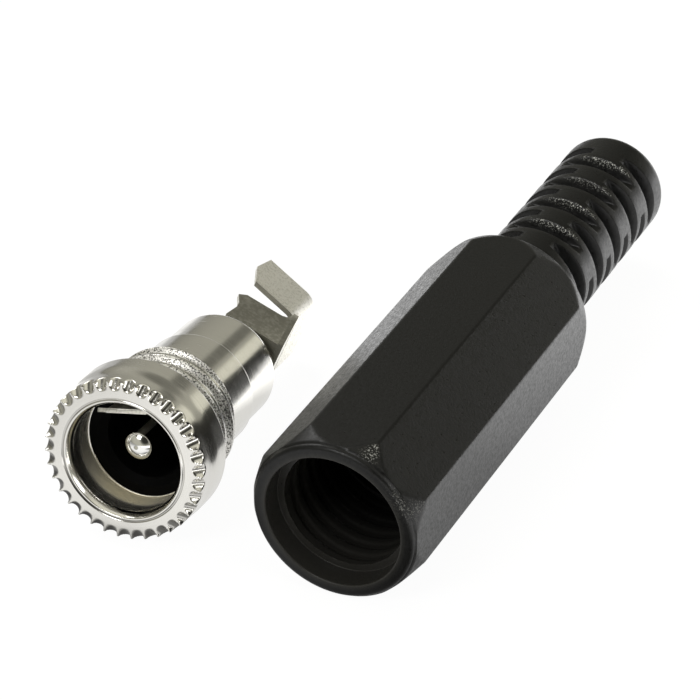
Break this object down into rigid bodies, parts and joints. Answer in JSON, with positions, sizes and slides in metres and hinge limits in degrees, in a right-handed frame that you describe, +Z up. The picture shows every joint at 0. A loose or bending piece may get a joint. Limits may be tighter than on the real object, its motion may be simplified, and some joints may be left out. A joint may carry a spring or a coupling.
{
  "type": "in-line dc barrel jack",
  "caption": "Cable-mount DC power jack with a plated metal body, centre pin and solder lug, lying beside its unscrewed black octagonal cover with slotted strain relief",
  "frame": {"origin": "On the ground under the middle of the box around both halves as they lie.", "axes": "Z is up. The cover's axis runs along Y with its mouth towards -Y and its strain relief towards +Y. X points to the right of someone looking into the mouths, from the jack to the cover."},
  "size_m": [0.0278, 0.0508, 0.0122],
  "materials": {
    "nickel": "bright nickel plate on turned brass",
    "lug": "bright nickel plate on stamped sheet",
    "spring": "plated spring strip, rolled finish",
    "moulding": "black moulded plastic, matt",
    "washer": "brown insulating board, matt",
    "cover_plastic": "black moulded plastic, fine spark-eroded grain"
  },
  "bodies": {
    "jack_and_cover": {"shell": "nickel", "insulator": "moulding", "rear_washer": "washer", "centre_pin": "nickel", "sleeve_lug": "lug", "cover": "cover_plastic"},
    "contact": {"contact_spring": "spring"}
  },
  "joints": [
    {"name": "contact_flex", "type": "hinge", "parent": "jack_and_cover", "child": "contact", "pos_m": [-0.00907, -0.01136, 0.00734], "axis": [-0.9792, -0.0934, -0.1802], "range_deg": [0, 1.2], "stiffness_Nm_per_rad": 0.02}
  ]
}
